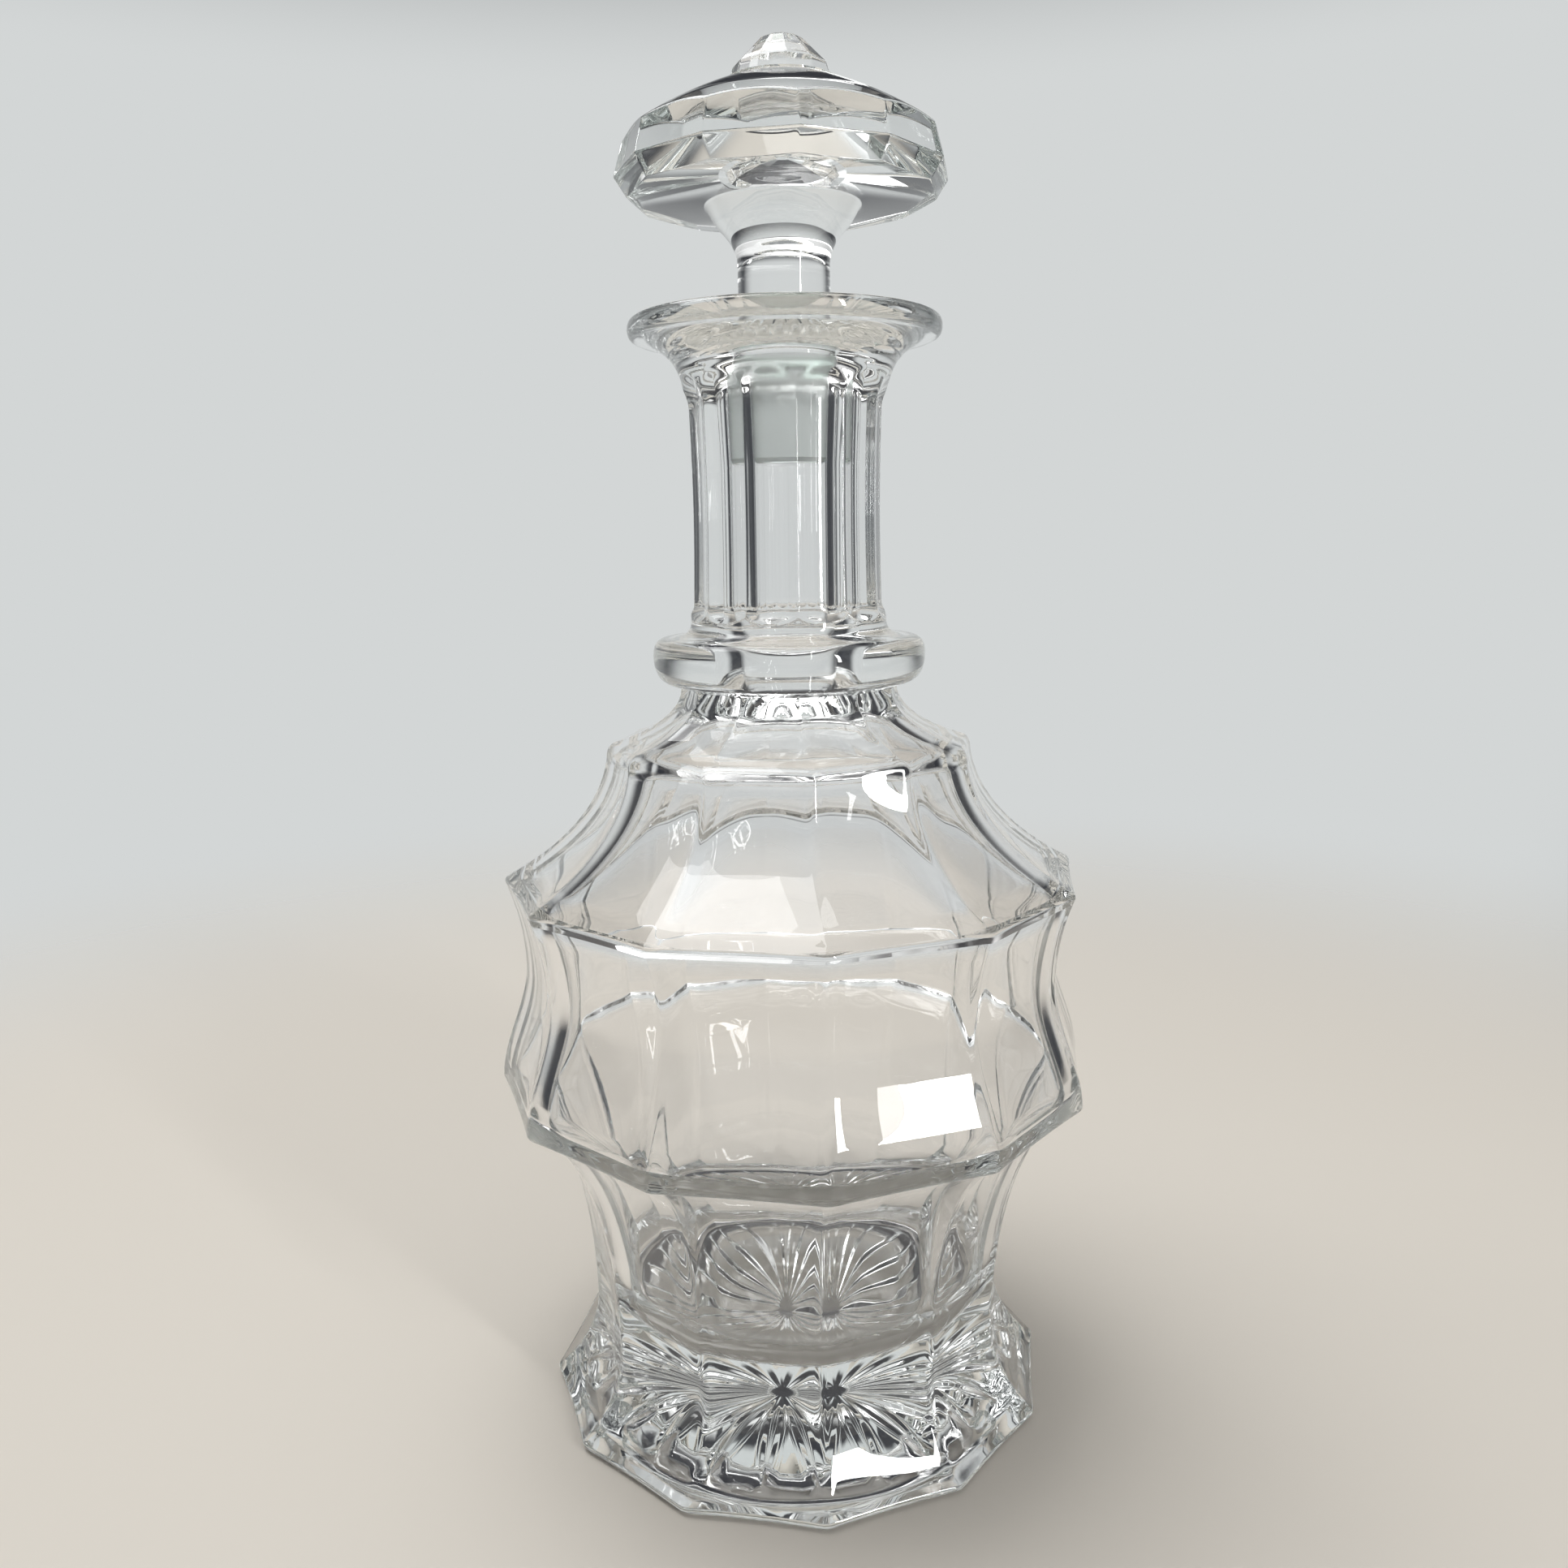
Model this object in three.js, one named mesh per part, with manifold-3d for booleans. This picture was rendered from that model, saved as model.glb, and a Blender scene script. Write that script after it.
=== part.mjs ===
// A twelve-panel cut-glass decanter of about 0.7 litre, with its solid glass stopper.
//
// The body is one piece of thick clear glass. Its outside is cut into twelve panels that run from the foot
// to the neck ring in five stacked tiers, each hollowed by a large wheel, so that ridges stand between the
// panels and sharp edges between the tiers. The neck is cut into twelve flutes that end in arches under a
// round flared lip, and the kicked-up underside carries a star of V grooves. The wall is of one thickness, so
// the cavity follows the panels with blunt ridges, and turns round towards the bore. The stopper is a tapered
// ground plug, a stem, a collar, a mushroom cap with a faceted rim, and a spire.
//
// Millimetres, +Z up. The origin is the middle of the base, on the table. One ridge faces -Y.

import * as THREE from "three";
import { mergeVertices } from "three/addons/utils/BufferGeometryUtils.js";
import Module from "manifold-3d";

// Panels and rays round the axis
const PANELS = 12;
const STAR_RAYS = 24;

// Heights of the tiers, stacked from the table up
const FOOT_HEIGHT = 19;
const SKIRT_HEIGHT = 50;
const BELLY_HEIGHT = 42.5;
const SHOULDER_HEIGHT = 26.5;
const UPPER_SHOULDER_HEIGHT = 11;
const RING_HEIGHT = 13;
const NECK_LENGTH = 40;
const FLARE_HEIGHT = 12.6;
const LIP_EDGE = 3.8;

// Radii of the cut outside, measured to the ridges between the panels
const FOOT_RADIUS = 53;
const PINCH_RADIUS = 43.5;
const BELLY_RADIUS = 60.8;
const WAIST_RADIUS = 54.9;
const SHOULDER_RADIUS = 58.5;
const UPPER_SHOULDER_RADIUS = 36.8;
const RING_ROOT_RADIUS = 21.6;
const NECK_RADIUS = 18.7;

// Radii of the round ring and lip
const RING_RADIUS = 26.9;
const LIP_RADIUS = 29.8;

// Height of the waist above the lower edge of the belly, and of the ring's widest circle above its root
const WAIST_RISE = 24.5;
const RING_BULGE = 6.5;

// Rounding of the neck ring and the lip
const RING_SEAT = 0.8;
const RING_COVE = 3;
const LIP_ROUND = 1.6;

// Cut of the wheels: how far each tier's hollow turns, in degrees, and how deep the panels are hollowed
const FOOT_TURN = 50;
const SKIRT_TURN = 88;
const SHOULDER_TURN = 42;
const UPPER_SHOULDER_TURN = 55;
const BODY_HOLLOW = 0.35;
const FOOT_BEVEL = 1.6;

// Flutes of the neck: their hollow, how far they draw in half way up, and how they run out at the two ends
const NECK_HOLLOW = 0.55;
const NECK_WAIST = 0.35;
const FLUTE_FOOT = 3.4;
const FLUTE_RUNOUT = 11;
const FLUTE_TURN = 80;

// Glass left round the cavity. The softness is the stretch of wall over which the inside is evened out, and
// the swell is how far its panels bulge between their blunt ridges.
const WALL = 4;
const WALL_SOFTNESS = 4.5;
const INSIDE_SWELL = 0.8;
const FLOOR_THICKNESS = 24;
const FLOOR_CORNER = 16;
const BORE_RUN_IN = 6;

// The base is kicked up in a shallow dome inside the flat land that the decanter stands on
const BASE_LAND = 4.3;
const KICK_HEIGHT = 7;

// Star cut under the base, up to a margin inside the flat land
const STAR_MARGIN = 2;
const STAR_HUB = 2;
const STAR_DEPTH = 1.6;
const STAR_RAY_WIDTH = 5.2;
const STAR_SKIN = 0.3;

// Ground seat of the stopper, a taper in the top of the bore, under a rounded mouth and a dished lip
const BORE_RADIUS = 9.4;
const SEAT_LENGTH = 21;
const SEAT_TAPER = 0.05;
const SEAT_CLEARANCE = 0.3;
const MOUTH_ROUND = 2.6;
const LIP_DISH = 3.2;

// Plug, stem and collar of the stopper
const PLUG_CHAMFER = 1;
const PLUG_SHOULDER = 2.6;
const STEM_RADIUS = 8.7;
const STEM_LENGTH = 15.5;
const COLLAR_FLARE = 7;
const COLLAR_RADIUS = 12.5;
const COLLAR_BAND = 3.4;
const COLLAR_TOP_RADIUS = 14.6;

// Cap of the stopper: the cone under it, the rim with its two bands of facets, and the dome
const CAP_UNDERSIDE_RISE = 2.1;
const CAP_RADIUS = 31.3;
const CAP_RIM_LOWER = 2.6;
const CAP_RIM_UPPER = 4.2;
const CAP_RIM_TAPER = 0.7;
const CAP_DOME_HEIGHT = 11.6;
const DOME_SHOULDER = 4;
const DOME_CROWN = 13;
const DOME_SLOPE = 0.4;

// Spire on the cap: a low round step, then facets that lean in more and more
const SPIRE_STEP = 0.3;
const SPIRE_MARGIN = 1.2;
const SPIRE_RADIUS = 9.9;
const SPIRE_FOOT = 3.2;
const SPIRE_FOOT_TAPER = 1;
const SPIRE_CONE = 4.6;
const SPIRE_CONE_TAPER = 4.7;
const SPIRE_POINT = 1.2;
const SPIRE_TIP_RADIUS = 1;

// Fineness of the faceted solids
const ROUND_STEPS = 48;
const PANEL_STEPS = 3;
const SWEEP_STEPS = 5;
const WALL_STEPS = 24;
const WALL_PROBES = 8;
const KICK_STEPS = 5;
const CURVE_STEPS = 4;
const RAY_STEPS = 6;

// Reach of a cutting shape beyond the glass that it cuts, and the distance under which corners are one
const OVERCUT = 5;
const SAME_CORNER = 1e-4;

const wasm = await Module();
wasm.setup();

const { lerp, smoothstep, degToRad } = THREE.MathUtils;
const point = (radius, level) => new THREE.Vector2(radius, level);
const sector = (2 * Math.PI) / PANELS;
const apothem = (ridge) => ridge * Math.cos(sector / 2);

const pinchLevel = FOOT_HEIGHT;
const bellyLevel = pinchLevel + SKIRT_HEIGHT;
const waistLevel = bellyLevel + WAIST_RISE;
const shoulderLevel = bellyLevel + BELLY_HEIGHT;
const upperShoulderLevel = shoulderLevel + SHOULDER_HEIGHT;
const ringLevel = upperShoulderLevel + UPPER_SHOULDER_HEIGHT;
const neckLevel = ringLevel + RING_HEIGHT;
const flareLevel = neckLevel + NECK_LENGTH;
const lipUnderLevel = flareLevel + FLARE_HEIGHT;
const lipTopLevel = lipUnderLevel + LIP_EDGE;
const mouthLevel = lipTopLevel - LIP_DISH;
const seatTopLevel = mouthLevel - MOUTH_ROUND;
const seatBottomLevel = seatTopLevel - SEAT_LENGTH;
const seatTopRadius = BORE_RADIUS + SEAT_LENGTH * SEAT_TAPER;

const kickRadius = apothem(FOOT_RADIUS - FOOT_BEVEL) - BODY_HOLLOW - BASE_LAND;
const starRadius = kickRadius - STAR_MARGIN;

// Turns a closed three.js geometry into a solid for cutting and joining.
function solidOf(geometry) {
  geometry.deleteAttribute("normal");
  geometry.deleteAttribute("uv");
  const merged = mergeVertices(geometry, SAME_CORNER);
  return new wasm.Manifold(new wasm.Mesh({
    numProp: 3,
    vertProperties: new Float32Array(merged.attributes.position.array),
    triVerts: new Uint32Array(merged.index.array),
  }));
}

// Turns a solid back into a geometry for a mesh.
function geometryOf(solid) {
  const mesh = solid.getMesh();
  const geometry = new THREE.BufferGeometry();
  geometry.setAttribute("position", new THREE.Float32BufferAttribute(mesh.vertProperties, 3));
  geometry.setIndex(Array.from(mesh.triVerts));
  geometry.computeVertexNormals();
  return geometry;
}

// A round solid from an outline of radius and level that starts and ends on the axis, bottom first.
function turned(outline) {
  const geometry = new THREE.LatheGeometry(outline, ROUND_STEPS);
  geometry.rotateX(Math.PI / 2);
  return solidOf(geometry);
}

// A solid whose level sections have a side for each panel. The outline gives the radius to the ridges,
// bottom first, and each side is pressed in by the hollow at its middle.
function panelled(outline, hollow) {
  const around = PANELS * PANEL_STEPS;
  const positions = [];
  for (const { x: ridge, y: level } of outline) {
    for (let step = 0; step < around; step += 1) {
      const across = ((step % PANEL_STEPS) / PANEL_STEPS - 0.5) * sector;
      const dip = hollow * (1 - (2 * across / sector) ** 2);
      const radius = apothem(ridge) / Math.cos(across) - dip;
      const angle = (step / around) * 2 * Math.PI - Math.PI / 2;
      positions.push(radius * Math.cos(angle), radius * Math.sin(angle), level);
    }
  }
  const lastRing = (outline.length - 1) * around;
  const bottomMiddle = lastRing + around;
  const topMiddle = bottomMiddle + 1;
  positions.push(0, 0, outline[0].y);
  positions.push(0, 0, outline[outline.length - 1].y);
  const faces = [];
  for (let step = 0; step < around; step += 1) {
    const next = (step + 1) % around;
    faces.push(bottomMiddle, next, step);
    faces.push(topMiddle, lastRing + step, lastRing + next);
    for (let ring = 0; ring < lastRing; ring += around) {
      faces.push(ring + step, ring + next, ring + around + next);
      faces.push(ring + step, ring + around + next, ring + around + step);
    }
  }
  const geometry = new THREE.BufferGeometry();
  geometry.setAttribute("position", new THREE.Float32BufferAttribute(positions, 3));
  geometry.setIndex(faces);
  return solidOf(geometry);
}

// The hollow that a wheel leaves along a tier: an arc that stands upright at its first end and leans out by
// the turn at the other, fitted between the two ends.
function sweep(upright, leaning, turnDegrees) {
  const turn = degToRad(turnDegrees);
  const points = [];
  for (let step = 0; step <= SWEEP_STEPS; step += 1) {
    const angle = (turn * step) / SWEEP_STEPS;
    const out = (1 - Math.cos(angle)) / (1 - Math.cos(turn));
    const along = Math.sin(angle) / Math.sin(turn);
    points.push(point(lerp(upright.x, leaning.x, out), lerp(upright.y, leaning.y, along)));
  }
  return points;
}

// The belly's panels: a soft swell above the lower edge, drawn in to the waist, and out again in an arc to
// the shoulder edge.
function bellyOutline() {
  const points = [];
  for (let step = 0; step <= SWEEP_STEPS; step += 1) {
    const share = step / SWEEP_STEPS;
    const drawnIn = smoothstep(share, 0, 1);
    points.push(point(lerp(BELLY_RADIUS, WAIST_RADIUS, drawnIn), lerp(bellyLevel, waistLevel, share)));
  }
  for (let step = 1; step <= SWEEP_STEPS; step += 1) {
    const share = step / SWEEP_STEPS;
    const out = share * share;
    points.push(point(lerp(WAIST_RADIUS, SHOULDER_RADIUS, out), lerp(waistLevel, shoulderLevel, share)));
  }
  return points;
}

// The ridges from the table to the neck ring. The ends of neighbouring tiers are the same point, kept once.
function tiersOutline() {
  const pinch = point(PINCH_RADIUS, pinchLevel);
  const upperShoulder = point(UPPER_SHOULDER_RADIUS, upperShoulderLevel);
  const foot = sweep(pinch, point(FOOT_RADIUS, FOOT_BEVEL), FOOT_TURN).reverse();
  const skirt = sweep(pinch, point(BELLY_RADIUS, bellyLevel), SKIRT_TURN);
  const shoulder = sweep(upperShoulder, point(SHOULDER_RADIUS, shoulderLevel), SHOULDER_TURN).reverse();
  const upper = sweep(point(RING_ROOT_RADIUS, ringLevel), upperShoulder, UPPER_SHOULDER_TURN).reverse();
  return [
    point(FOOT_RADIUS - FOOT_BEVEL, 0),
    ...foot,
    ...skirt.slice(1),
    ...bellyOutline().slice(1),
    ...shoulder.slice(1),
    ...upper.slice(1),
  ];
}

// The radius to the ridges at a level, between the points of the outline.
function ridgeAt(outline, level) {
  const above = outline.findIndex((corner) => corner.y >= level);
  const high = outline[above];
  const low = outline[Math.max(above - 1, 0)];
  const share = high.y > low.y ? (level - low.y) / (high.y - low.y) : 0;
  return lerp(low.x, high.x, share);
}

// The round blank above the shoulders: the neck ring, the neck before it is fluted, and the flared lip.
function neckBlank() {
  const neck = NECK_RADIUS + NECK_HOLLOW;
  const seatLevel = ringLevel + RING_SEAT;
  const coveLevel = neckLevel - RING_COVE;
  const blank = new THREE.Path();
  blank.moveTo(0, ringLevel - RING_SEAT);
  blank.lineTo(RING_ROOT_RADIUS - RING_SEAT, ringLevel - RING_SEAT);
  blank.lineTo(RING_ROOT_RADIUS + RING_SEAT, seatLevel);
  blank.quadraticCurveTo(RING_RADIUS, seatLevel, RING_RADIUS, ringLevel + RING_BULGE);
  blank.quadraticCurveTo(RING_RADIUS, coveLevel, RING_RADIUS - RING_COVE, coveLevel);
  blank.quadraticCurveTo(neck, coveLevel, neck, neckLevel);
  blank.lineTo(neck, flareLevel);
  blank.quadraticCurveTo(neck, lipUnderLevel - LIP_ROUND, LIP_RADIUS - LIP_ROUND, lipUnderLevel);
  blank.quadraticCurveTo(LIP_RADIUS, lipUnderLevel, LIP_RADIUS, lipUnderLevel + LIP_EDGE / 2);
  blank.quadraticCurveTo(LIP_RADIUS, lipTopLevel, LIP_RADIUS - LIP_ROUND, lipTopLevel);
  blank.lineTo(0, lipTopLevel);
  return turned(blank.getPoints(CURVE_STEPS));
}

// The flutes of the neck, drawn in a little at their middle, which run out of the glass in arches above the
// ring and under the lip.
function flutes() {
  const outside = Math.max(RING_RADIUS, LIP_RADIUS) + OVERCUT;
  const footLevel = neckLevel + FLUTE_FOOT;
  const lower = sweep(point(NECK_RADIUS, footLevel), point(outside, neckLevel - FLUTE_FOOT), FLUTE_TURN);
  const upper = sweep(point(NECK_RADIUS, flareLevel), point(outside, flareLevel + FLUTE_RUNOUT), FLUTE_TURN);
  const waist = [];
  for (let step = 1; step < SWEEP_STEPS; step += 1) {
    const share = step / SWEEP_STEPS;
    const drawnIn = NECK_WAIST * Math.sin(Math.PI * share);
    waist.push(point(NECK_RADIUS - drawnIn, lerp(footLevel, flareLevel, share)));
  }
  return panelled([
    point(outside, ringLevel - OVERCUT),
    ...lower.reverse(),
    ...waist,
    ...upper,
    point(outside, lipTopLevel + OVERCUT),
  ], NECK_HOLLOW);
}

// The radius inside at a level, at the middle of a panel: every spot keeps the wall's thickness from the
// nearest glass outside, also where that lies higher or lower.
function insideAt(tiers, level) {
  let inside = Infinity;
  for (let probe = -WALL_PROBES; probe <= WALL_PROBES; probe += 1) {
    const share = probe / WALL_PROBES;
    const near = Math.min(level + WALL * share, ringLevel);
    const outside = apothem(ridgeAt(tiers, near)) - BODY_HOLLOW;
    inside = Math.min(inside, outside - WALL * Math.sqrt(1 - share * share));
  }
  return inside;
}

// The same radius, averaged over a stretch of the wall, because hot glass keeps no sharp turn inside.
function softInsideAt(tiers, level) {
  let total = 0;
  for (let probe = -WALL_PROBES; probe <= WALL_PROBES; probe += 1) {
    total += insideAt(tiers, level + (WALL_SOFTNESS * probe) / WALL_PROBES);
  }
  return total / (2 * WALL_PROBES + 1);
}

// The space inside the panels, from the rounded floor up to where it ends within the round bore.
function vesselSpace(tiers) {
  const cornerLevel = FLOOR_THICKNESS + FLOOR_CORNER;
  const runInLevel = ringLevel - BORE_RUN_IN;
  const ridgeInside = (level) => (softInsideAt(tiers, level) - INSIDE_SWELL) / apothem(1);
  const cornerRadius = ridgeInside(cornerLevel);
  const bore = BORE_RADIUS - INSIDE_SWELL;
  const space = new THREE.Path();
  space.moveTo(cornerRadius - FLOOR_CORNER, FLOOR_THICKNESS);
  space.quadraticCurveTo(cornerRadius, FLOOR_THICKNESS, cornerRadius, cornerLevel);
  for (let step = 1; step <= WALL_STEPS; step += 1) {
    const level = lerp(cornerLevel, runInLevel, step / WALL_STEPS);
    space.lineTo(ridgeInside(level), level);
  }
  space.quadraticCurveTo(bore, ringLevel, bore, ringLevel + RING_BULGE);
  return panelled(space.getPoints(CURVE_STEPS), -INSIDE_SWELL);
}

// The round space that goes on from there: the bore, the ground seat and the mouth, up to the dished lip.
function mouthSpace() {
  const mouth = new THREE.Path();
  mouth.moveTo(0, ringLevel);
  mouth.lineTo(BORE_RADIUS, ringLevel);
  mouth.lineTo(BORE_RADIUS, seatBottomLevel);
  mouth.lineTo(seatTopRadius, seatTopLevel);
  mouth.quadraticCurveTo(seatTopRadius, mouthLevel, seatTopRadius + MOUTH_ROUND, mouthLevel);
  mouth.lineTo(LIP_RADIUS - LIP_ROUND, lipTopLevel);
  mouth.lineTo(LIP_RADIUS, lipTopLevel + OVERCUT);
  mouth.lineTo(0, lipTopLevel + OVERCUT);
  return turned(mouth.getPoints(CURVE_STEPS));
}

// How far the base stands off the table at a radius.
function kickAt(radius) {
  return KICK_HEIGHT * (1 - (radius / kickRadius) ** 2);
}

// The space under the kicked-up base. It starts a little outside and below the dome's rim, to cut cleanly.
function kickSpace() {
  const dome = [];
  const outside = kickRadius + STAR_SKIN;
  for (let step = 0; step <= KICK_STEPS; step += 1) {
    const radius = lerp(outside, 0, step / KICK_STEPS);
    dome.push(point(radius, kickAt(radius)));
  }
  return turned([point(0, dome[0].y - OVERCUT), point(outside, dome[0].y - OVERCUT), ...dome]);
}

// One V groove of the star, shaped like a narrow boat: it grows out of the kicked-up base at the hub, is
// deepest half way along, and runs out again near the rim. The part under the glass is there to cut cleanly.
function starRay() {
  const slope = STAR_RAY_WIDTH / 2 / STAR_DEPTH;
  const positions = [STAR_HUB, 0, kickAt(STAR_HUB) - STAR_SKIN];
  for (let step = 1; step < RAY_STEPS; step += 1) {
    const share = step / RAY_STEPS;
    const rise = (STAR_DEPTH + STAR_SKIN) * Math.sin(Math.PI * share);
    const along = lerp(STAR_HUB, starRadius, share);
    const skin = kickAt(along) - STAR_SKIN;
    positions.push(along, -rise * slope, skin);
    positions.push(along, rise * slope, skin);
    positions.push(along, 0, rise + skin);
  }
  positions.push(starRadius, 0, kickAt(starRadius) - STAR_SKIN);
  const outerTip = 3 * (RAY_STEPS - 1) + 1;
  const lastSection = outerTip - 3;
  const faces = [];
  for (let side = 0; side < 3; side += 1) {
    const next = (side + 1) % 3;
    faces.push(0, 1 + next, 1 + side);
    for (let start = 1; start < lastSection; start += 3) {
      faces.push(start + side, start + next, start + 3 + next);
      faces.push(start + side, start + 3 + next, start + 3 + side);
    }
    faces.push(lastSection + side, lastSection + next, outerTip);
  }
  const geometry = new THREE.BufferGeometry();
  geometry.setAttribute("position", new THREE.Float32BufferAttribute(positions, 3));
  geometry.setIndex(faces);
  return geometry;
}

// The body: tiers, ring, neck and lip joined, then the base kicked up, the star cut and the inside taken out.
function carafeBody() {
  const tiers = tiersOutline();
  const shoulders = panelled(
    [...tiers, point(RING_ROOT_RADIUS - RING_SEAT, ringLevel + RING_COVE)],
    BODY_HOLLOW,
  );
  const neck = neckBlank().intersect(flutes());
  let body = shoulders.add(neck).subtract(kickSpace());
  for (let ray = 0; ray < STAR_RAYS; ray += 1) {
    const groove = starRay().rotateZ((ray / STAR_RAYS) * 2 * Math.PI);
    body = body.subtract(solidOf(groove));
  }
  return body.subtract(vesselSpace(tiers)).subtract(mouthSpace());
}

// The stopper: turned in one piece, then cut with the facets of the rim and the spire.
function stopper() {
  const plugBottomRadius = BORE_RADIUS - SEAT_CLEARANCE;
  const plugTopRadius = seatTopRadius - SEAT_CLEARANCE;
  const plugShoulderLevel = seatTopLevel + PLUG_SHOULDER;
  const stemLevel = seatTopLevel + STEM_LENGTH;
  const collarLevel = stemLevel + COLLAR_FLARE;
  const undersideLevel = collarLevel + COLLAR_BAND;
  const capLevel = undersideLevel + CAP_UNDERSIDE_RISE;
  const rimLevel = capLevel + CAP_RIM_LOWER;
  const rimTopLevel = rimLevel + CAP_RIM_UPPER;
  const spireLevel = rimTopLevel + CAP_DOME_HEIGHT;
  const spireConeLevel = spireLevel + SPIRE_FOOT;
  const spirePointLevel = spireConeLevel + SPIRE_CONE;
  const tipLevel = spirePointLevel + SPIRE_POINT;
  const rimRadius = CAP_RADIUS - CAP_RIM_TAPER;
  const blankRadius = CAP_RADIUS + CAP_RIM_TAPER;
  const spireBlankRadius = SPIRE_RADIUS + SPIRE_MARGIN;
  const spireConeRadius = SPIRE_RADIUS - SPIRE_FOOT_TAPER;

  const blank = new THREE.Path();
  blank.moveTo(0, seatBottomLevel);
  blank.lineTo(plugBottomRadius - PLUG_CHAMFER, seatBottomLevel);
  blank.lineTo(plugBottomRadius + PLUG_CHAMFER * SEAT_TAPER, seatBottomLevel + PLUG_CHAMFER);
  blank.lineTo(plugTopRadius, seatTopLevel);
  blank.quadraticCurveTo(plugTopRadius, plugShoulderLevel, STEM_RADIUS, plugShoulderLevel);
  blank.lineTo(STEM_RADIUS, stemLevel);
  blank.quadraticCurveTo(STEM_RADIUS, stemLevel + COLLAR_FLARE / 2, COLLAR_RADIUS, collarLevel);
  blank.lineTo(COLLAR_TOP_RADIUS, undersideLevel);
  blank.lineTo(blankRadius, capLevel);
  blank.lineTo(blankRadius, rimLevel);
  blank.bezierCurveTo(
    rimRadius, rimTopLevel + DOME_SHOULDER,
    spireBlankRadius + DOME_CROWN, spireLevel - DOME_CROWN * DOME_SLOPE,
    spireBlankRadius, spireLevel,
  );
  blank.lineTo(spireBlankRadius, tipLevel);
  blank.lineTo(0, tipLevel);

  const facets = panelled([
    point(rimRadius, seatBottomLevel - OVERCUT),
    point(rimRadius, capLevel),
    point(CAP_RADIUS, rimLevel),
    point(rimRadius, rimTopLevel),
    point(rimRadius, spireLevel + SPIRE_STEP),
    point(SPIRE_RADIUS, spireLevel + SPIRE_STEP),
    point(spireConeRadius, spireConeLevel),
    point(spireConeRadius - SPIRE_CONE_TAPER, spirePointLevel),
    point(SPIRE_TIP_RADIUS, tipLevel),
  ], 0);
  return turned(blank.getPoints(CURVE_STEPS)).intersect(facets);
}

function clearGlass() {
  return new THREE.MeshStandardMaterial({
    color: 0xe6ece8,
    roughness: 0.04,
    metalness: 0,
    transparent: true,
    opacity: 0.35,
  });
}

function piece(name, solid) {
  const mesh = new THREE.Mesh(geometryOf(solid), clearGlass());
  mesh.name = name;
  return mesh;
}

const decanter = new THREE.Group();
decanter.add(piece("carafe_body", carafeBody()));
decanter.add(piece("stopper", stopper()));

export default decanter;
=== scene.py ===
# A twelve-panel cut-glass decanter of about 0.7 litre with its solid stopper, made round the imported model.
# Outlines are written in mm as (radius, level), and become metres where they are made into a mesh.

from math import asin, atan2, cos, floor, hypot, pi, radians, sin, tan

import bmesh
import bpy
from mathutils import Matrix, Vector


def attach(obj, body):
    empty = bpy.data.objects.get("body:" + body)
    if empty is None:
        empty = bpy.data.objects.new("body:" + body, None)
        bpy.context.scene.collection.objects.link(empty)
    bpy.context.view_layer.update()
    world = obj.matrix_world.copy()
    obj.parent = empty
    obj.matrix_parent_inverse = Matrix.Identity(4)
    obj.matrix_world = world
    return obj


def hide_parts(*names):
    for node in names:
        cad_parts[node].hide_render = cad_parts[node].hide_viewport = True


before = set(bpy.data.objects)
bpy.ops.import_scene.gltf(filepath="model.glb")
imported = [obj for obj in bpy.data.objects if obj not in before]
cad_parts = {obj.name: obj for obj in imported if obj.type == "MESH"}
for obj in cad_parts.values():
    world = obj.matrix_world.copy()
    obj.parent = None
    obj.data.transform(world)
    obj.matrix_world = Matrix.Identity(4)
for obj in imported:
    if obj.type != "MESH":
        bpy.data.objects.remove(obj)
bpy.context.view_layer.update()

# The camera stands a quarter of a metre away at the height of the neck, looks a little down, and leans by
# less than a degree, as the photograph's does.
camera_data = bpy.data.cameras.new("camera")
camera_data.lens = 29.18
camera_data.clip_start = 0.01
camera = bpy.data.objects.new("camera", camera_data)
camera_turn = Matrix.Rotation(-0.087, 4, "Z")
camera_tilt = Matrix.Rotation(pi / 2 - 0.190, 4, "X")
camera_lean = Matrix.Rotation(-0.015, 4, "Z")
camera.matrix_world = Matrix.Translation((-0.0234, -0.2521, 0.1776)) @ camera_turn @ camera_tilt @ camera_lean
bpy.context.scene.collection.objects.link(camera)
bpy.context.scene.camera = camera

# The outside of the vessel: soda-lime glass, one piece from the foot to the lip. A wheel has hollowed twelve
# panels in each of five tiers, and twelve flutes in the neck, and the polish has softened the ridges.
MM = 0.001
PANELS = 12
COLUMNS = 20
HALF_PANEL = pi / PANELS
FOOT_BEVEL = (51.4, 0)
FOOT = (53, 1.6)
PINCH = (43.5, 19)
BELLY_EDGE = (60.8, 69)
WAIST = (54.9, 93.5)
SHOULDER_EDGE = (58.5, 111.5)
UPPER_SHOULDER = (36.8, 138)
RING_ROOT = (21.6, 149)
RING_SEAT = (22.4, 149.8)
RING_WIDEST = (26.9, 155.5)
RING_TOP = (23.9, 159)
NECK_RADIUS = 18.7
NECK_BLANK = 19.25
NECK_FOOT = 162
NECK_FLARE = 202
LIP_UNDER = (28.2, 214.6)
LIP_EDGE = (29.8, 216.5)
LIP_TOP = (28.2, 218.4)
BODY_HOLLOW = 0.35
NECK_HOLLOW = 0.55
NECK_WAIST = 0.35
FLUTE_FOOT = 3.4
FLUTE_RUNOUT = 11
FLUTE_CLEAR = 34.8
FLUTE_TURN = radians(80)
FLUTE_ARCH = 6
FLARE_BEND = 213
FOOT_SWEEP = radians(50)
BELLY_SWEEP = radians(88)
SHOULDER_SWEEP = radians(42)
ROOT_SWEEP = radians(55)
RIDGE_POLISH = 1.1
FLUTE_POLISH = 0.5
TIER_POLISH = 0.8
SHOULDER_POLISH = 4
ARCH_POLISH = 0.3


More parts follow.
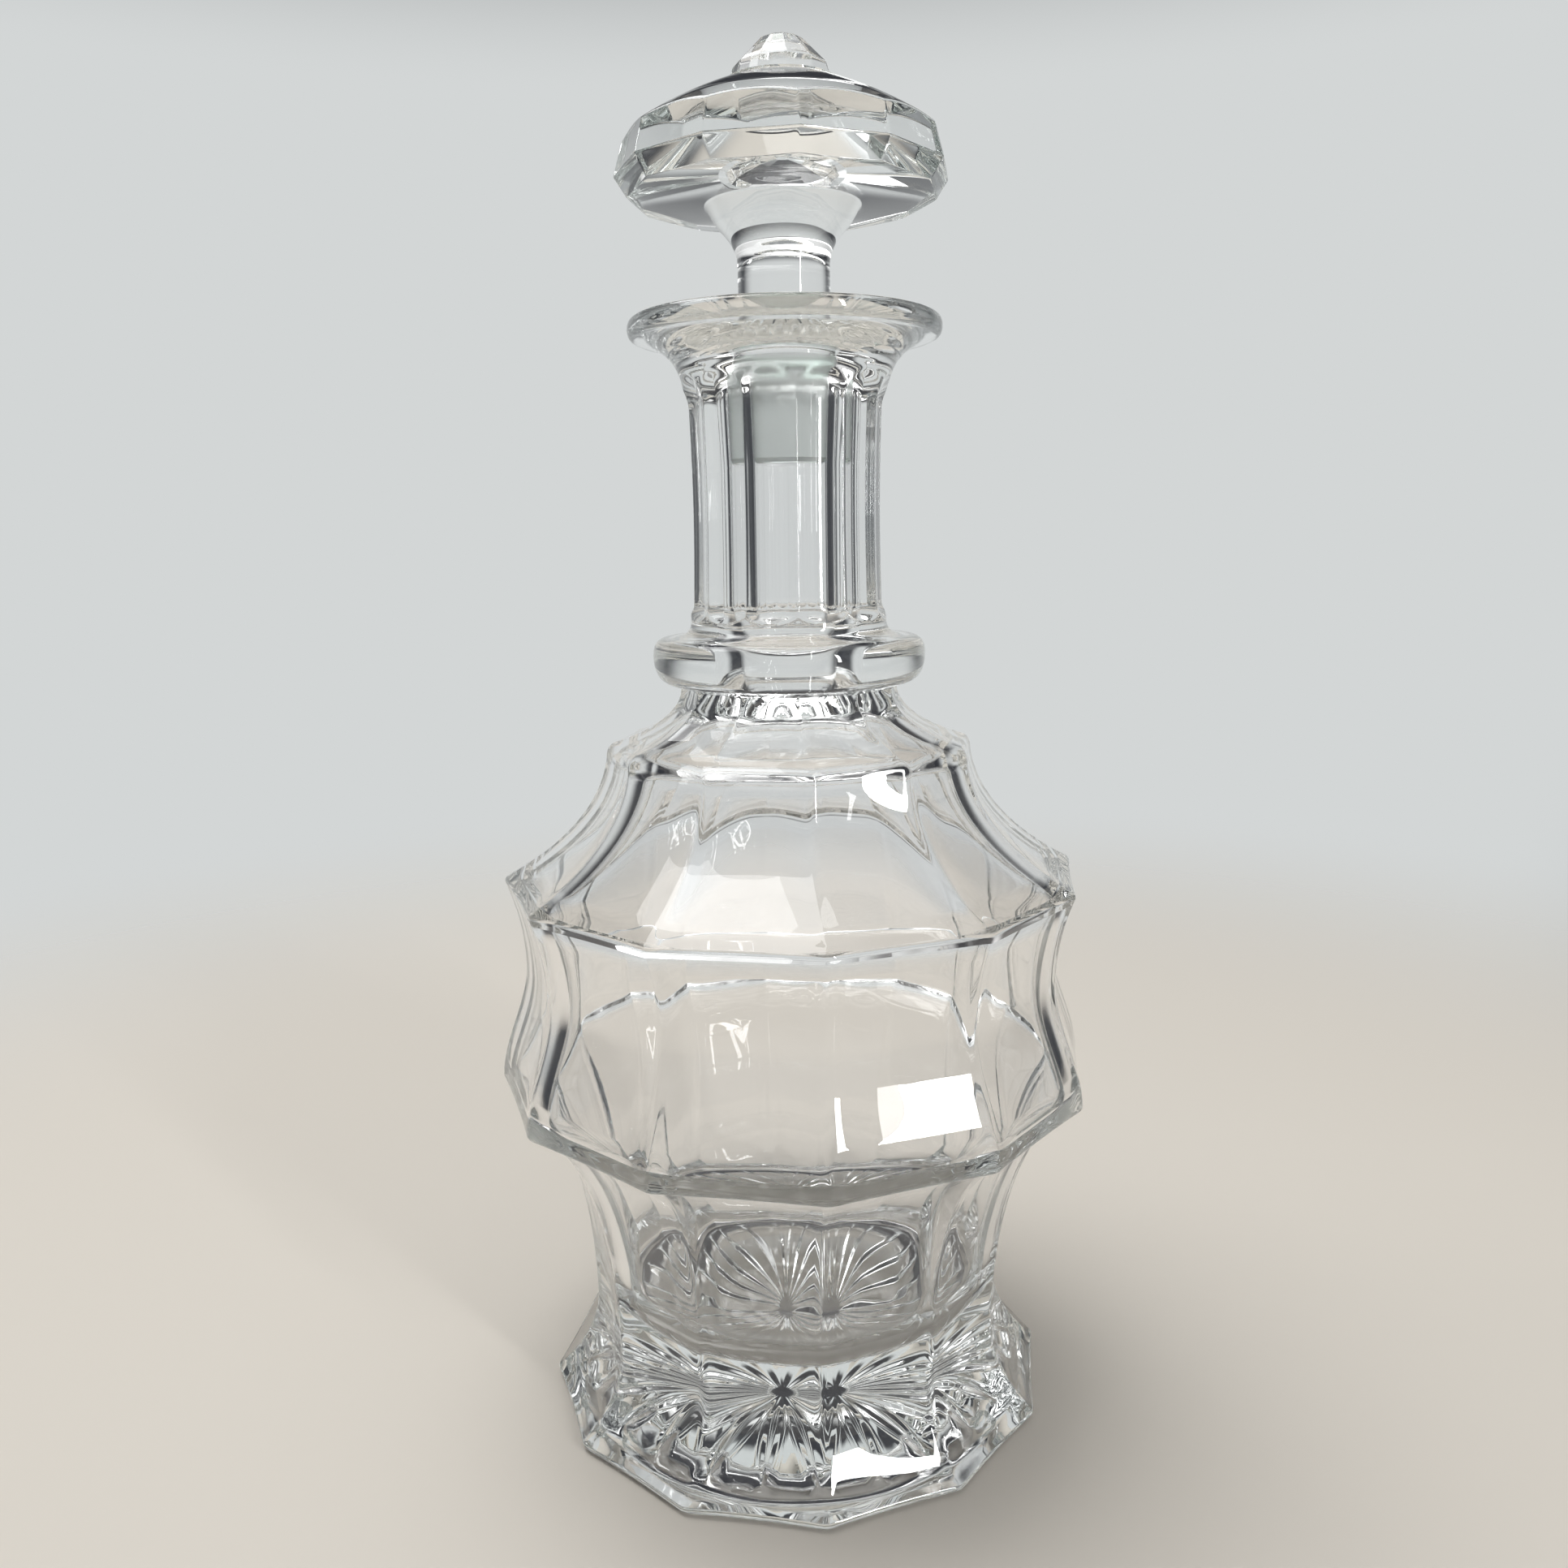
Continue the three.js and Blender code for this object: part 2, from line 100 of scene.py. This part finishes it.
def sweep(upright, leaning, turn, steps):
    """The arc that a wheel leaves between two ends, upright at the first and leaning at the other."""
    points = []
    for step in range(steps + 1):
        angle = turn * step / steps
        out = (1 - cos(angle)) / (1 - cos(turn))
        along = sin(angle) / sin(turn)
        radius = upright[0] + (leaning[0] - upright[0]) * out
        points.append((radius, upright[1] + (leaning[1] - upright[1]) * along))
    return points


def bend(start, control, end, steps):
    """A round stretch that leaves the start towards the control point and comes to the end from it."""
    points = []
    for step in range(1, steps + 1):
        share = step / steps
        weights = ((1 - share) ** 2, 2 * share * (1 - share), share ** 2)
        points.append(tuple(sum(w * p[k] for w, p in zip(weights, (start, control, end))) for k in (0, 1)))
    return points


def straight(start, end, steps):
    """Evenly spaced points on a straight stretch, without its start."""
    shares = [step / steps for step in range(1, steps + 1)]
    return [tuple(start[k] + (end[k] - start[k]) * share for k in (0, 1)) for share in shares]


def belly(steps):
    """The soft swell above the lower edge, drawn in to the waist, and out again to the shoulder edge."""
    points = []
    for step in range(1, steps + 1):
        share = step / steps
        drawn_in = share * share * (3 - 2 * share)
        radius = BELLY_EDGE[0] + (WAIST[0] - BELLY_EDGE[0]) * drawn_in
        points.append((radius, BELLY_EDGE[1] + (WAIST[1] - BELLY_EDGE[1]) * share))
    for step in range(1, steps + 1):
        share = step / steps
        radius = WAIST[0] + (SHOULDER_EDGE[0] - WAIST[0]) * share * share
        points.append((radius, WAIST[1] + (SHOULDER_EDGE[1] - WAIST[1]) * share))
    return points


def chain(bm, points):
    """An outline as a chain of edges in the plane of the first ridge."""
    corners = [bm.verts.new((0, -radius * MM, level * MM)) for radius, level in points]
    for here, there in zip(corners, corners[1:]):
        bm.edges.new((here, there))


def soften(bm, places, width):
    """Rounds the chain at the places where it turns a sharp corner."""
    sharp = [
        corner for corner in bm.verts for radius, level in places
        if hypot(-corner.co.y - radius * MM, corner.co.z - level * MM) < 1e-6
    ]
    bmesh.ops.bevel(
        bm, geom=sharp, offset=width * MM, offset_type="OFFSET", segments=4, profile=0.5, affect="VERTICES",
        clamp_overlap=True, material=-1,
    )


def spin_panel(bm):
    """Spins the loose chain into the skin of one panel, and returns the skin's corners."""
    outline = [edge for edge in bm.edges if edge.is_wire]
    corners = {corner for edge in outline for corner in edge.verts}
    others = set(bm.verts) - corners
    bmesh.ops.spin(
        bm, geom=[*corners, *outline], cent=(0, 0, 0), axis=(0, 0, 1), dvec=(0, 0, 0), angle=2 * HALF_PANEL,
        steps=COLUMNS, use_merge=False, use_normal_flip=False, use_duplicate=False,
    )
    return [corner for corner in bm.verts if corner not in others]


def repeat_panel(bm):
    """Repeats the panel round the axis, and closes the seams and the poles."""
    bmesh.ops.spin(
        bm, geom=[*bm.verts, *bm.edges, *bm.faces], cent=(0, 0, 0), axis=(0, 0, 1), dvec=(0, 0, 0),
        angle=2 * HALF_PANEL * (PANELS - 1), steps=PANELS - 1, use_merge=False, use_normal_flip=False,
        use_duplicate=True,
    )
    bmesh.ops.remove_doubles(bm, verts=bm.verts, dist=1e-6)
    bmesh.ops.recalc_face_normals(bm, faces=bm.faces)


def radius_of(corner):
    """How far a corner lies from the axis, in mm."""
    return hypot(corner.co.x, corner.co.y) / MM


def across_panel(corner):
    """Where a corner lies across its panel, from -1 at one ridge through 0 at the middle to 1 at the next."""
    turn = (atan2(corner.co.y, corner.co.x) + pi / 2) / (2 * HALF_PANEL)
    return 2 * (turn - floor(turn + 1e-6)) - 1


def swing(corner, turn):
    """Moves a corner round the axis."""
    corner.co = Matrix.Rotation(turn, 3, "Z") @ corner.co


def crowd_ridges(corners):
    """Moves the columns towards the ridges, where the glass turns sharply."""
    for corner in corners:
        across = across_panel(corner)
        swing(corner, HALF_PANEL * (sin(across * pi / 2) - across))


def panel_radius(ridge, across, hollow, polish):
    """How far out a panel lies: a flat between two ridges, hollowed at its middle, with softened ridges."""
    angle = across * HALF_PANEL
    radius = ridge * cos(HALF_PANEL) / cos(angle) - hollow * (1 - across * across)
    slope = tan(HALF_PANEL) + 2 * hollow / (HALF_PANEL * ridge)
    from_ridge = ridge * sin(HALF_PANEL - abs(angle))
    if from_ridge < polish:
        radius -= slope * (polish - from_ridge) ** 2 / (2 * polish)
    return radius


def soft_min(a, b, width):
    """The smaller of two radii, rounded off where they cross."""
    near = max(width - abs(a - b), 0) / width
    return min(a, b) - near * near * width / 4


def place_at(corner, radius):
    """Moves a corner in or out to a radius."""
    scale = radius / radius_of(corner)
    corner.co.x *= scale
    corner.co.y *= scale


def flute_ridge(level):
    """The radius to the ridges of the neck's flutes, which run out of the glass at both ends."""
    low = NECK_FOOT + FLUTE_FOOT
    if low <= level <= NECK_FLARE:
        return NECK_RADIUS - NECK_WAIST * sin(pi * (level - low) / (NECK_FLARE - low))
    along = (low - level) / (2 * FLUTE_FOOT) if level < low else (level - NECK_FLARE) / FLUTE_RUNOUT
    angle = asin(min(along, 1) * sin(FLUTE_TURN))
    return NECK_RADIUS + (FLUTE_CLEAR - NECK_RADIUS) * (1 - cos(angle)) / (1 - cos(FLUTE_TURN))


def press_panels(corners):
    """Presses the skin into panels below the ring and into flutes above it."""
    for corner in corners:
        radius = radius_of(corner)
        level = corner.co.z / MM
        across = across_panel(corner)
        if level < RING_ROOT[1] + 0.01:
            polish = RIDGE_POLISH * min(1, radius / PINCH[0]) ** 2
            place_at(corner, panel_radius(radius, across, BODY_HOLLOW, polish))
        elif RING_TOP[1] < level and radius < LIP_UNDER[0]:
            flute = panel_radius(flute_ridge(level), across, NECK_HOLLOW, FLUTE_POLISH)
            place_at(corner, soft_min(radius, flute, ARCH_POLISH))


tiers = [
    FOOT_BEVEL,
    *reversed(sweep(PINCH, FOOT, FOOT_SWEEP, 12)),
    *sweep(PINCH, BELLY_EDGE, BELLY_SWEEP, 26)[1:],
    *belly(12),
    *list(reversed(sweep(UPPER_SHOULDER, SHOULDER_EDGE, SHOULDER_SWEEP, 18)))[1:],
    *list(reversed(sweep(RING_ROOT, UPPER_SHOULDER, ROOT_SWEEP, 10)))[1:],
]
ring = [
    RING_SEAT,
    *bend(RING_SEAT, (RING_WIDEST[0], RING_SEAT[1]), RING_WIDEST, 10),
    *bend(RING_WIDEST, (RING_WIDEST[0], RING_TOP[1]), RING_TOP, 8),
    *bend(RING_TOP, (NECK_BLANK, RING_TOP[1]), (NECK_BLANK, NECK_FOOT), 12),
]
neck = [
    *straight((NECK_BLANK, NECK_FOOT), (NECK_BLANK, NECK_FOOT + FLUTE_ARCH), 15),
    *straight((NECK_BLANK, NECK_FOOT + FLUTE_ARCH), (NECK_BLANK, NECK_FLARE), 9),
]
lip = [
    *bend((NECK_BLANK, NECK_FLARE), (NECK_BLANK, FLARE_BEND), LIP_UNDER, 40),
    *bend(LIP_UNDER, (LIP_EDGE[0], LIP_UNDER[1]), LIP_EDGE, 6),
    *bend(LIP_EDGE, (LIP_EDGE[0], LIP_TOP[1]), LIP_TOP, 6),
]
vessel = bmesh.new()
chain(vessel, [*tiers, *ring, *neck, *lip])
soften(vessel, [FOOT_BEVEL, FOOT, BELLY_EDGE, SHOULDER_EDGE], TIER_POLISH)
soften(vessel, [UPPER_SHOULDER], SHOULDER_POLISH)
outside = spin_panel(vessel)
crowd_ridges(outside)
press_panels(outside)

# The star under the base, which is kicked up a little inside the flat land that it stands on: 24 grooves in
# the same glass, cut by a V-edged wheel that dips in near the hub and comes out again near the rim.
KICK = 4
KICK_RIM = 45
RAYS = 24
HALF_RAY = pi / RAYS
STAR_HUB = 2
STAR_RIM = 43
STAR_DEPTH = 0.7
STAR_HALF_WIDTH = 2.6
STAR_EDGE = 44
EDGE_RINGS = (43.7, KICK_RIM, 46)
RAY_STEPS = 20
GROOVE_COLUMNS = 0.6


def kicked_up(radii):
    """The outline of the base at these radii, which stands off the table inside the land."""
    return [(radius, KICK * max(0, 1 - (radius / KICK_RIM) ** 2)) for radius in radii]


def cut_star(corners):
    """Cuts the grooves into the base, with six tenths of the columns inside them."""
    half_length = (STAR_RIM - STAR_HUB) / 2
    slope = STAR_HALF_WIDTH / STAR_DEPTH
    for corner in corners:
        radius = radius_of(corner)
        if radius < STAR_HUB or radius > STAR_RIM:
            continue
        turn = atan2(corner.co.y, corner.co.x) / (2 * HALF_RAY)
        across = 2 * (turn - floor(turn + 0.5))
        depth = STAR_DEPTH * max(0, 1 - ((radius - STAR_HUB - half_length) / half_length) ** 2)
        groove = min(asin(min(1, depth * slope / radius)), HALF_RAY)
        share = abs(across)
        if share < GROOVE_COLUMNS:
            angle = groove * share / GROOVE_COLUMNS
        else:
            angle = groove + (HALF_RAY - groove) * (share - GROOVE_COLUMNS) / (1 - GROOVE_COLUMNS)
        swing(corner, (1 if across > 0 else -1) * (angle - share * HALF_RAY))
        corner.co.z += max(0, depth - radius * sin(angle) / slope) * MM


ray_radii = [STAR_HUB + (STAR_RIM - STAR_HUB) * step / RAY_STEPS for step in range(RAY_STEPS + 1)]
chain(vessel, kicked_up([0, *ray_radii, *EDGE_RINGS]))
base = spin_panel(vessel)
cut_star(base)
crowd_ridges(corner for corner in base if radius_of(corner) > STAR_EDGE)
# The land is bridged between the two open rings of edges that lie on the table.
land = []
for edge in vessel.edges:
    radii = [radius_of(corner) for corner in edge.verts]
    on_table = max(corner.co.z for corner in edge.verts) < 1e-7
    if edge.is_boundary and on_table and radii[0] > STAR_EDGE and abs(radii[0] - radii[1]) < 0.5:
        land.append(edge)
bmesh.ops.bridge_loops(vessel, edges=land)

# The inside of the vessel: fire-polished, a wall's thickness inside the panels with blunt ridges, and round
# towards the neck, over a thick floor that swells in the middle. The top of the bore tapers for the plug.
WALL = 2.5
WALL_SOFTNESS = 1.5
WALL_STEPS = 60
FLOOR = 22
FLOOR_RISE = 4
FLOOR_STEPS = 12
FLOOR_CORNER = 16
INSIDE_POLISH = 7
ROUND_RADIUS = 15
PANELLED_RADIUS = 35
BORE = 9.4
BORE_RUN_IN = 6
SEAT_LOW = (BORE, 191.6)
SEAT_HIGH = (10.45, 212.6)
MOUTH = (13.05, 215.2)


def panel_middle(points, level):
    """The radius of an outline's panels at their middle, at a level."""
    for (low_radius, low), (high_radius, high) in zip(points, points[1:]):
        if low <= level <= high and high > low:
            ridge = low_radius + (high_radius - low_radius) * (level - low) / (high - low)
            return ridge * cos(HALF_PANEL) - BODY_HOLLOW
    return points[-1][0] * cos(HALF_PANEL) - BODY_HOLLOW


def inside_middle(points, level):
    """The radius inside at the middle of the panels, a wall's thickness from the nearest glass outside."""
    shares = [step / 12 - 1 for step in range(25)]
    return min(panel_middle(points, level + WALL * s) - WALL * (1 - s * s) ** 0.5 for s in shares)


def soft_inside(points, level):
    """The radius inside, averaged over a stretch of wall, because hot glass keeps no sharp turns inside."""
    shifts = [WALL_SOFTNESS * (step / 6 - 1) for step in range(13)]
    return sum(inside_middle(points, level + shift) for shift in shifts) / len(shifts)


def press_inside(corners):
    """Presses the inside after the panels outside, less and less towards the neck and the floor's middle."""
    for corner in corners:
        radius = radius_of(corner)
        level = corner.co.z / MM
        if radius > ROUND_RADIUS and level < RING_ROOT[1]:
            share = min(1, (radius - ROUND_RADIUS) / (PANELLED_RADIUS - ROUND_RADIUS))
            panelled = panel_radius(radius / cos(HALF_PANEL), across_panel(corner), 0, INSIDE_POLISH)
            place_at(corner, radius + (panelled - radius) * share * share * (3 - 2 * share))


corner_level = FLOOR + FLOOR_CORNER
wall_height = RING_ROOT[1] - BORE_RUN_IN - corner_level
wall_levels = [corner_level + wall_height * step / WALL_STEPS for step in range(WALL_STEPS + 1)]
wall_points = [(soft_inside(tiers, level), level) for level in wall_levels]
corner_radius = wall_points[0][0]
floor_radius = corner_radius - FLOOR_CORNER
floor_shares = [step / FLOOR_STEPS for step in range(FLOOR_STEPS + 1)]
chain(vessel, [
    *[(floor_radius * share, FLOOR + FLOOR_RISE * (1 - share ** 2)) for share in floor_shares],
    *bend((floor_radius, FLOOR), (corner_radius, FLOOR), wall_points[0], 8),
    *wall_points[1:],
    *bend(wall_points[-1], (BORE, RING_ROOT[1]), (BORE, RING_WIDEST[1]), 8),
    *straight((BORE, RING_WIDEST[1]), SEAT_LOW, 4),
    *straight(SEAT_LOW, SEAT_HIGH, 3),
    *bend(SEAT_HIGH, (SEAT_HIGH[0], MOUTH[1]), MOUTH, 6),
    *straight(MOUTH, LIP_TOP, 6),
])
inside = spin_panel(vessel)
crowd_ridges(inside)
press_inside(inside)
repeat_panel(vessel)

# Clear soda-lime glass, pressed, cut and polished: a hard even gloss, almost no colour, a breath of green
# where it is thick, and a surface that wavers a little, so that what is seen through it wavers too.
GLASS_IOR = 1.52
TINT_PER_METRE = 0.8
WAVER_LENGTH = 14
WAVER_HEIGHT = 0.012
SHARP_TURN = radians(32)


def linear(hex_colour):
    """An sRGB hex colour as the linear colour that a shader takes."""
    shares = [int(hex_colour[k:k + 2], 16) / 255 for k in (0, 2, 4)]
    return (*[s / 12.92 if s <= 0.04045 else ((s + 0.055) / 1.055) ** 2.4 for s in shares], 1)


def add_node(tree, kind, sockets, **settings):
    """Adds a node with its settings, and links or sets its sockets, which go by name or by place."""
    node = tree.nodes.new(kind)
    for name, value in settings.items():
        setattr(node, name, value)
    for key, value in sockets.items():
        if isinstance(value, bpy.types.NodeSocket):
            tree.links.new(value, node.inputs[key])
        else:
            node.inputs[key].default_value = value
    return node


def new_material(name):
    """A new material, and its empty node tree."""
    material = bpy.data.materials.new(name)
    material.use_nodes = True
    material.node_tree.nodes.clear()
    return material, material.node_tree


def finished_piece(bm, name, *materials):
    """Makes the skin an object of these materials, smooth except at its sharp edges."""
    for face in bm.faces:
        face.smooth = True
    for edge in bm.edges:
        edge.smooth = edge.calc_face_angle(0) < SHARP_TURN
    mesh = bpy.data.meshes.new(name)
    bm.to_mesh(mesh)
    bm.free()
    for material in materials:
        mesh.materials.append(material)
    piece = bpy.data.objects.new(name, mesh)
    bpy.context.scene.collection.objects.link(piece)
    return piece


polished_glass, tree = new_material("polished_clear_glass")
place = add_node(tree, "ShaderNodeTexCoord", {}).outputs["Object"]
waver = add_node(tree, "ShaderNodeTexNoise", {
    "Vector": place, "Scale": 1 / (WAVER_LENGTH * MM), "Detail": 1.0,
})
bump = add_node(tree, "ShaderNodeBump", {
    "Height": waver.outputs[0], "Strength": 1.0, "Distance": WAVER_HEIGHT * MM,
})
shader = add_node(tree, "ShaderNodeBsdfPrincipled", {
    "Base Color": linear("ffffff"), "Roughness": 0.0, "IOR": GLASS_IOR, "Transmission Weight": 1.0,
    "Normal": bump.outputs[0],
})
tint = add_node(tree, "ShaderNodeVolumeAbsorption", {"Color": linear("a4d8c4"), "Density": TINT_PER_METRE})
add_node(tree, "ShaderNodeOutputMaterial", {"Surface": shader.outputs[0], "Volume": tint.outputs[0]})

decanter_body = finished_piece(vessel, "decanter_body", polished_glass)
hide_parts("carafe_body")
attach(decanter_body, "carafe")

# The stopper: solid glass, pressed in one piece. The plug is ground to fit the seat, and the rim of the
# mushroom cap and the spire on it are cut with twelve facets each.
SEAT_CLEARANCE = 0.3
PLUG_LOW = (BORE - SEAT_CLEARANCE, SEAT_LOW[1])
PLUG_HIGH = (SEAT_HIGH[0] - SEAT_CLEARANCE, SEAT_HIGH[1])
PLUG_MIDDLE = (4, SEAT_LOW[1])
PLUG_CHAMFER = 1
PLUG_TAPER = 0.05
PLUG_POLISH = 0.5
STEM_LOW = (8.7, 215.2)
STEM_HIGH = (8.7, 228.1)
STEM_BEND = (8.7, 231.6)
COLLAR = (12.5, 235.1)
COLLAR_TOP = (14.6, 238.5)
CAP_MIDWAY = (27, 239.71)
CAP_UNDERSIDE = (32, 240.2)
RIM_LOW = (29, 239.9)
RIM_EDGE = (31.3, 243.4)
RIM_HIGH = (29.6, 249.3)
DOME_LOW = (32, 247.5)
DOME_BULGE = ((27, 251.6), (19.5, 255.6))
DOME_HIGH = (11.1, 259)
SPIRE_STEP = (11.1, 259.3)
SPIRE_FOOT = (9.9, 259.3)
SPIRE_SHOULDER = (8.9, 262.2)
SPIRE_NECK = (4.2, 266.8)
SPIRE_TIP = (1, 268)
FACET_POLISH = 0.3
RIM_POLISH = 0.15


def dome(steps):
    """The dome of the cap, from the rim to the foot of the spire."""
    handles = (DOME_LOW, *DOME_BULGE, DOME_HIGH)
    points = []
    for step in range(1, steps + 1):
        share = step / steps
        rest = 1 - share
        weights = (rest ** 3, 3 * rest * rest * share, 3 * rest * share * share, share ** 3)
        points.append(tuple(sum(w * p[k] for w, p in zip(weights, handles)) for k in (0, 1)))
    return points


def rim_ridge(level):
    """The radius to the ridges of the rim, which leans out to its edge and in again above it."""
    below = RIM_EDGE[0] - (RIM_EDGE[0] - RIM_LOW[0]) * (RIM_EDGE[1] - level) / (RIM_EDGE[1] - RIM_LOW[1])
    above = RIM_EDGE[0] - (RIM_EDGE[0] - RIM_HIGH[0]) * (level - RIM_EDGE[1]) / (RIM_HIGH[1] - RIM_EDGE[1])
    return soft_min(below, above, RIM_POLISH)


def cut_facets(corners):
    """Cuts the facets of the rim and the spire."""
    for corner in corners:
        radius = radius_of(corner)
        level = corner.co.z / MM
        across = across_panel(corner)
        if level > SPIRE_FOOT[1] - 0.01 and 0.5 < radius < SPIRE_FOOT[0] + 0.01:
            place_at(corner, panel_radius(radius, across, 0, FACET_POLISH * radius / SPIRE_FOOT[0]))
        elif RIM_LOW[1] - 1 < level < DOME_HIGH[1] - 1:
            facet = panel_radius(rim_ridge(level), across, 0, FACET_POLISH)
            place_at(corner, soft_min(radius, facet, FACET_POLISH))


plug_corner = (PLUG_LOW[0] - PLUG_CHAMFER, PLUG_LOW[1])
plug_side = (PLUG_LOW[0] + PLUG_TAPER * PLUG_CHAMFER, PLUG_LOW[1] + PLUG_CHAMFER)
stopper_skin = bmesh.new()
chain(stopper_skin, [
    (0, PLUG_LOW[1]),
    PLUG_MIDDLE,
    plug_corner,
    plug_side,
    *straight(plug_side, PLUG_HIGH, 4),
    *bend(PLUG_HIGH, (PLUG_HIGH[0], STEM_LOW[1]), STEM_LOW, 8),
    *straight(STEM_LOW, STEM_HIGH, 5),
    *bend(STEM_HIGH, STEM_BEND, COLLAR, 12),
    *straight(COLLAR, COLLAR_TOP, 4),
    *straight(COLLAR_TOP, CAP_MIDWAY, 8),
    *straight(CAP_MIDWAY, CAP_UNDERSIDE, 20),
    *straight(CAP_UNDERSIDE, DOME_LOW, 36),
    *dome(60),
    SPIRE_STEP,
    SPIRE_FOOT,
    *straight(SPIRE_FOOT, SPIRE_SHOULDER, 3),
    *straight(SPIRE_SHOULDER, SPIRE_NECK, 4),
    SPIRE_TIP,
    (0, SPIRE_TIP[1]),
])
soften(stopper_skin, [plug_corner, STEM_LOW, COLLAR, COLLAR_TOP], PLUG_POLISH)
soften(stopper_skin, [SPIRE_SHOULDER, SPIRE_NECK, SPIRE_TIP], FACET_POLISH)
skin = spin_panel(stopper_skin)
crowd_ridges(skin)
cut_facets(skin)
repeat_panel(stopper_skin)

# Ground glass, where the plug was ground to its size with wet grit: pale and blind. The grain is drawn about
# twice as coarse as the grit left it, so that it shows.
GRIT = 0.25
GRIT_HEIGHT = 0.02
ground_glass, tree = new_material("ground_glass")
place = add_node(tree, "ShaderNodeTexCoord", {}).outputs["Object"]
grain = add_node(tree, "ShaderNodeTexNoise", {"Vector": place, "Scale": 1 / (GRIT * MM), "Detail": 2.0})
bump = add_node(tree, "ShaderNodeBump", {
    "Height": grain.outputs[0], "Strength": 0.5, "Distance": GRIT_HEIGHT * MM,
})
shader = add_node(tree, "ShaderNodeBsdfPrincipled", {
    "Base Color": linear("fcfffd"), "Roughness": 0.3, "IOR": GLASS_IOR, "Transmission Weight": 0.8,
    "Normal": bump.outputs[0],
})
tint = add_node(tree, "ShaderNodeVolumeAbsorption", {"Color": linear("a4d8c4"), "Density": TINT_PER_METRE})
add_node(tree, "ShaderNodeOutputMaterial", {"Surface": shader.outputs[0], "Volume": tint.outputs[0]})
for face in stopper_skin.faces:
    if PLUG_LOW[1] + PLUG_CHAMFER / 2 < face.calc_center_median().z / MM < PLUG_HIGH[1]:
        face.material_index = 1

decanter_stopper = finished_piece(stopper_skin, "decanter_stopper", polished_glass, ground_glass)
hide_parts("stopper")
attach(decanter_stopper, "stopper")

# The floor: a plain board painted a matt pale colour, on which the decanter stands and throws its shadow, and
# which fades into the pale room before its edge can show.
FLOOR_REACH = 0.9
FADE_START = 0.2
FADE_END = 0.63
AIR_UNDER_BASE = 0.15
floor_board = bmesh.new()
bmesh.ops.create_circle(floor_board, cap_ends=True, segments=96, radius=FLOOR_REACH)
bmesh.ops.translate(floor_board, verts=floor_board.verts, vec=(0, 0, -AIR_UNDER_BASE * MM))
floor_mesh = bpy.data.meshes.new("floor")
floor_board.to_mesh(floor_mesh)
floor_board.free()
floor_object = bpy.data.objects.new("floor", floor_mesh)
bpy.context.scene.collection.objects.link(floor_object)
matt_board, tree = new_material("matt_pale_board")
place = add_node(tree, "ShaderNodeTexCoord", {}).outputs["Object"]
distance = add_node(tree, "ShaderNodeVectorMath", {"Vector": place}, operation="LENGTH").outputs["Value"]
fade = add_node(
    tree, "ShaderNodeMapRange", {"Value": distance, "From Min": FADE_START, "From Max": FADE_END},
    interpolation_type="SMOOTHERSTEP",
)
board = add_node(tree, "ShaderNodeBsdfDiffuse", {"Color": linear("dcd6cc")})
nothing = add_node(tree, "ShaderNodeBsdfTransparent", {})
mixed = add_node(tree, "ShaderNodeMixShader", {
    0: fade.outputs[0], 1: board.outputs[0], 2: nothing.outputs[0],
})
add_node(tree, "ShaderNodeOutputMaterial", {"Surface": mixed.outputs[0]})
floor_mesh.materials.append(matt_board)

# The light: a window at the front right, a soft lamp under the ceiling, and a room that is pale behind the
# object and overhead, and dark to its sides, so that the edges of the clear glass draw dark lines.
MIDDLE = Vector((0, 0, 0.13))
FRONT_TONE = "9a9c9e"
ROOM_TONES = (
    ("Y", -0.75, -0.35, "3e4044"), ("Y", 0.5, 0.8, "d3d6d6"),
    ("Z", 0.3, 0.5, "34353a"), ("Z", 0.7, 0.9, "ffffff"),
)


def hang_lamp(name, location, width, height, watts):
    """A soft rectangular lamp that looks at the middle of the object."""
    lamp_data = bpy.data.lights.new(name, "AREA")
    lamp_data.shape = "RECTANGLE"
    lamp_data.size = width
    lamp_data.size_y = height
    lamp_data.energy = watts
    lamp = bpy.data.objects.new(name, lamp_data)
    lamp.location = location
    lamp.rotation_euler = (MIDDLE - lamp.location).to_track_quat("-Z", "Y").to_euler()
    bpy.context.scene.collection.objects.link(lamp)


hang_lamp("window", (0.58, -0.80, 0.44), 0.05, 0.56, 3.0)
hang_lamp("ceiling_lamp", (-0.3, 0.2, 1.15), 0.9, 0.9, 8.0)
world = bpy.data.worlds.new("room")
bpy.context.scene.world = world
world.use_nodes = True
tree = world.node_tree
tree.nodes.clear()
direction = add_node(tree, "ShaderNodeTexCoord", {}).outputs["Generated"]
axes = add_node(tree, "ShaderNodeSeparateXYZ", {"Vector": direction})
# The room's tone changes four times: along Y, from the front to the back wall, and then along Z, upwards.
tone = linear(FRONT_TONE)
for axis, low, high, next_tone in ROOM_TONES:
    step = add_node(
        tree, "ShaderNodeMapRange", {"Value": axes.outputs[axis], "From Min": low, "From Max": high},
        interpolation_type="SMOOTHSTEP",
    )
    mix = add_node(
        tree, "ShaderNodeMix", {0: step.outputs[0], 6: tone, 7: linear(next_tone)}, data_type="RGBA",
    )
    tone = mix.outputs[2]
light = add_node(tree, "ShaderNodeBackground", {"Color": tone, "Strength": 1.0})
add_node(tree, "ShaderNodeOutputWorld", {"Surface": light.outputs[0]})
# Light crosses many faces of clear glass before it comes out.
bpy.context.scene.cycles.max_bounces = 32
bpy.context.scene.cycles.glossy_bounces = 32
bpy.context.scene.cycles.transmission_bounces = 32
bpy.context.scene.view_settings.view_transform = "Standard"
